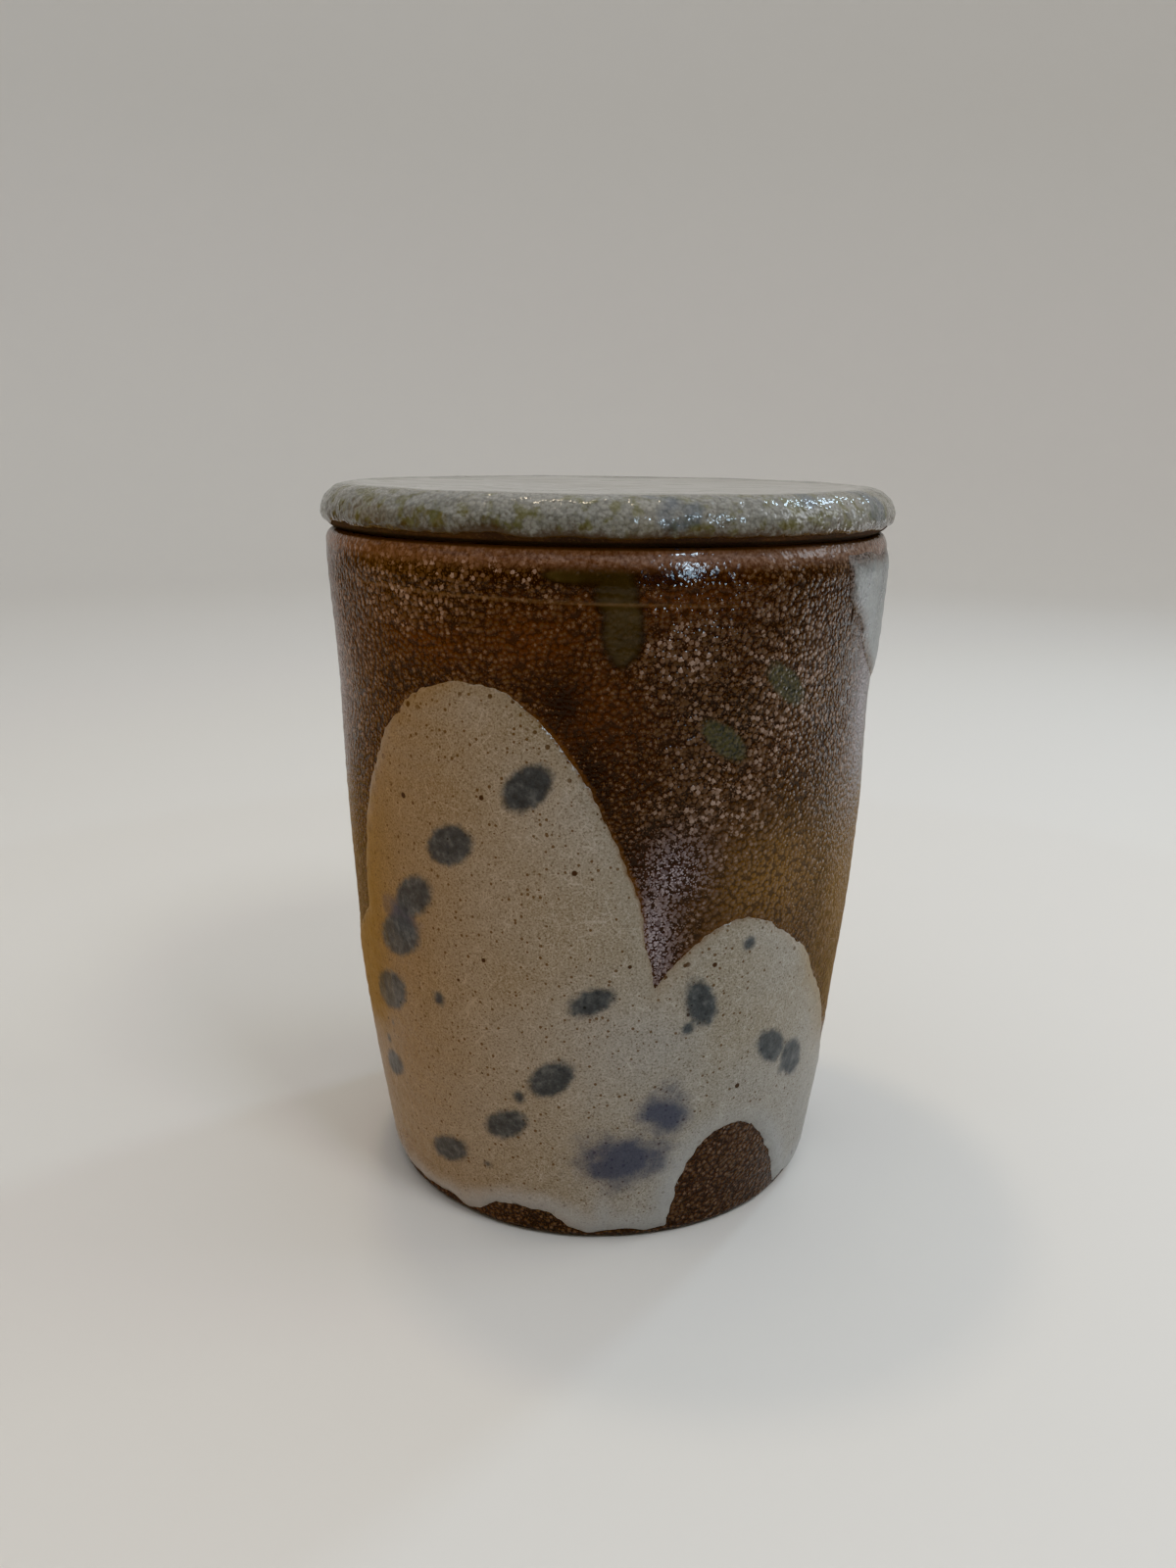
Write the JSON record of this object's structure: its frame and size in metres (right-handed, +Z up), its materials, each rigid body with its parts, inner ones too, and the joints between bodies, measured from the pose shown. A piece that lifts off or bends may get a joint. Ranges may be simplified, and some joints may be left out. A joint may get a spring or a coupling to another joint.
{
  "type": "lidded ceramic pot",
  "caption": "Tapered stoneware pot with a thick, flat, round-edged lid that lifts off; a ring under the lid centres it in the mouth.",
  "frame": {"origin": "middle of the foot, on the surface that the pot stands on", "axes": "+Z up along the axis of the pot, -Y towards the pictured front, +X to the right in the picture"},
  "size_m": [0.152, 0.152, 0.192],
  "materials": {
    "salt_glazed_stoneware": "glossy orange-peel brown with pale flecks",
    "bare_stoneware": "matt toasted brown",
    "pale_glaze": "semi-gloss grey-beige with brown specks and blue-grey spots",
    "lid_glaze": "glossy pooled grey-beige with olive and blue-grey blotches",
    "liner_glaze": "smooth glossy grey-beige"
  },
  "bodies": {
    "pot": {"pot_body": "salt_glazed_stoneware", "liner_glaze": "liner_glaze", "pale_glaze_pour": "pale_glaze", "rim_glaze_pour": "pale_glaze"},
    "lid": {"lid_disc": "bare_stoneware", "lid_ring": "bare_stoneware", "lid_glaze": "lid_glaze"}
  },
  "joints": [
    {"name": "lid_lift", "type": "slide", "parent": "pot", "child": "lid", "axis": [0, 0, 1], "range_m": [0, 0.16]}
  ]
}
